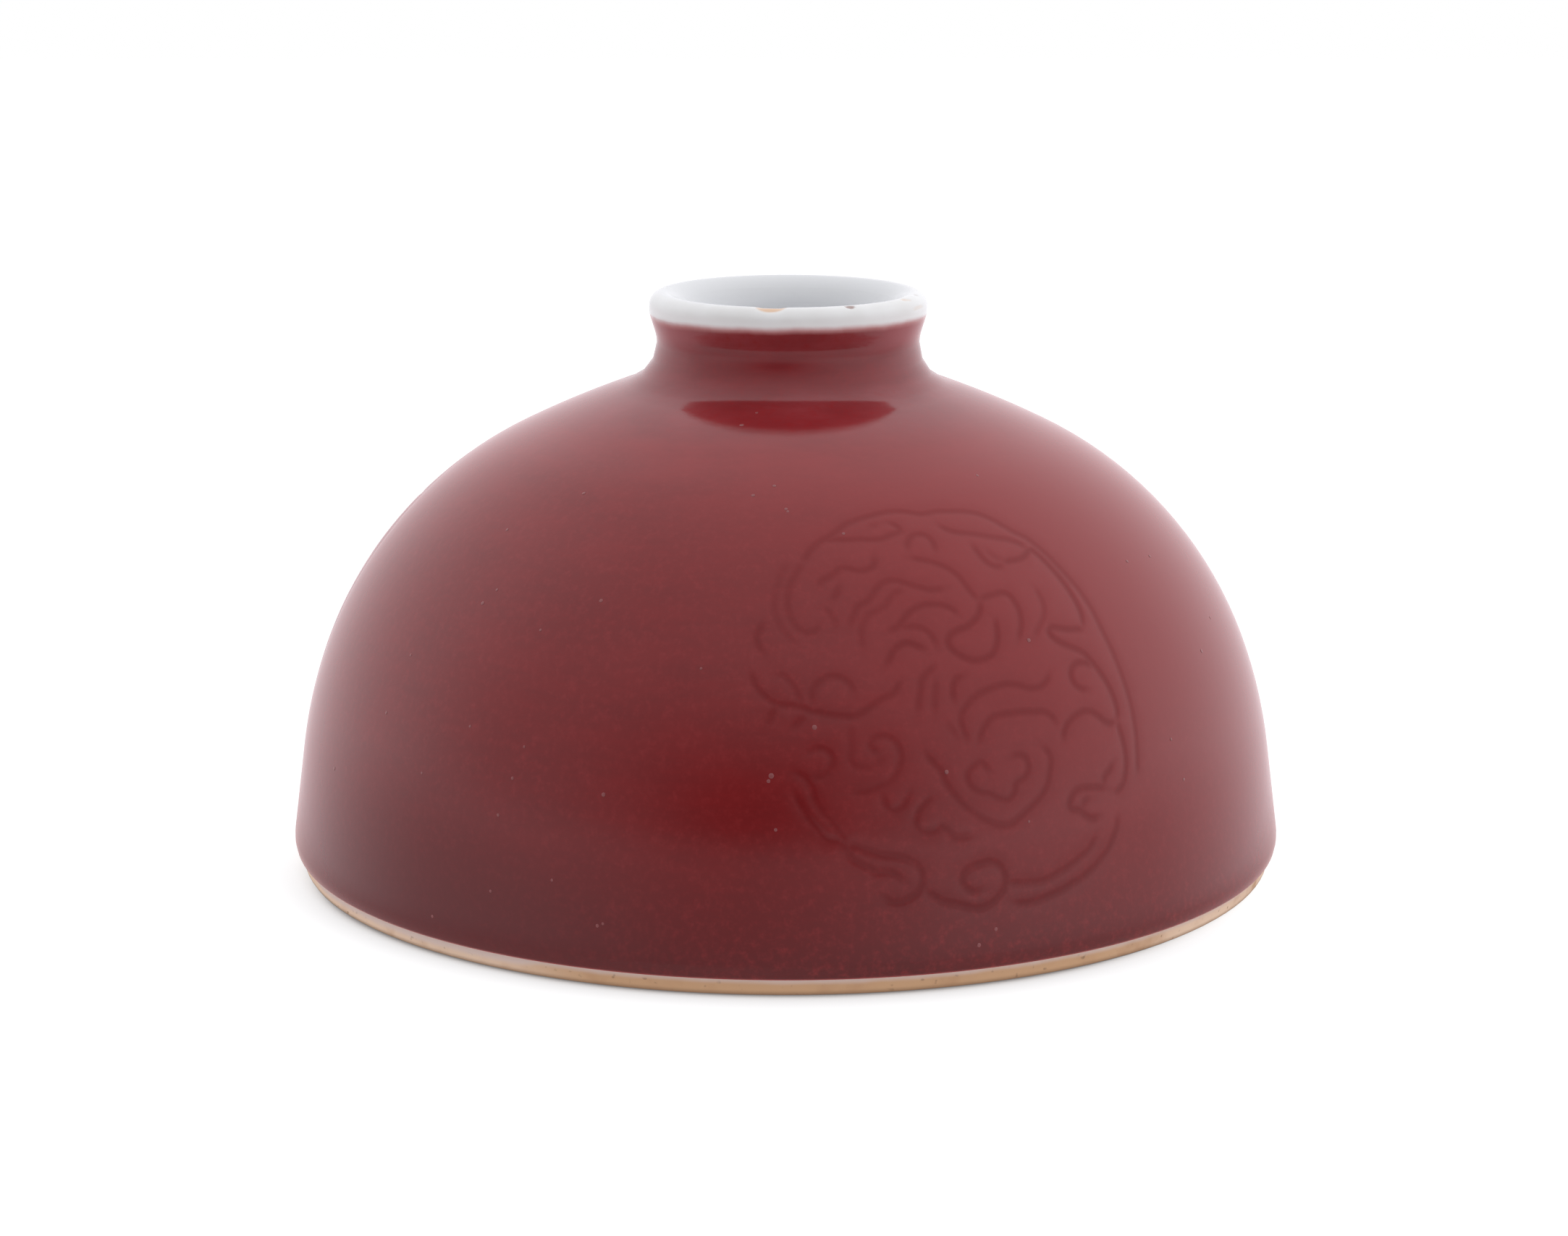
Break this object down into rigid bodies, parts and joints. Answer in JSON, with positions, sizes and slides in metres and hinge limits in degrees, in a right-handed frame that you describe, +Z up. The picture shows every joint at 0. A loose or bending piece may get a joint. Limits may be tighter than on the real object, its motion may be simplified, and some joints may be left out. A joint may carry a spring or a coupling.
{
  "type": "water coupe",
  "caption": "Low beehive-shaped porcelain water pot with a short neck, rolled white lip, copper-red glaze and bare foot rim, for holding water on a writing desk.",
  "frame": {"origin": "centre of the foot rim, on the table", "axes": "+Z up along the axis on which the pot was thrown, -Y towards the viewer of the picture"},
  "size_m": [0.127, 0.127, 0.0725],
  "materials": {
    "porcelain": "fired porcelain, bare and tan where the foot rim is unglazed",
    "slip": "fired porcelain slip in the luted seams",
    "red_glaze": "glossy copper-red glaze, finely mottled",
    "clear_glaze": "glossy clear glaze over white porcelain"
  },
  "bodies": {
    "root": {"base_section": "porcelain", "dome_section": "porcelain", "neck_section": "porcelain", "base_slip": "slip", "neck_slip": "slip", "red_glaze": "red_glaze", "lip_glaze": "clear_glaze", "inner_glaze": "clear_glaze", "base_glaze": "clear_glaze"}
  },
  "joints": []
}
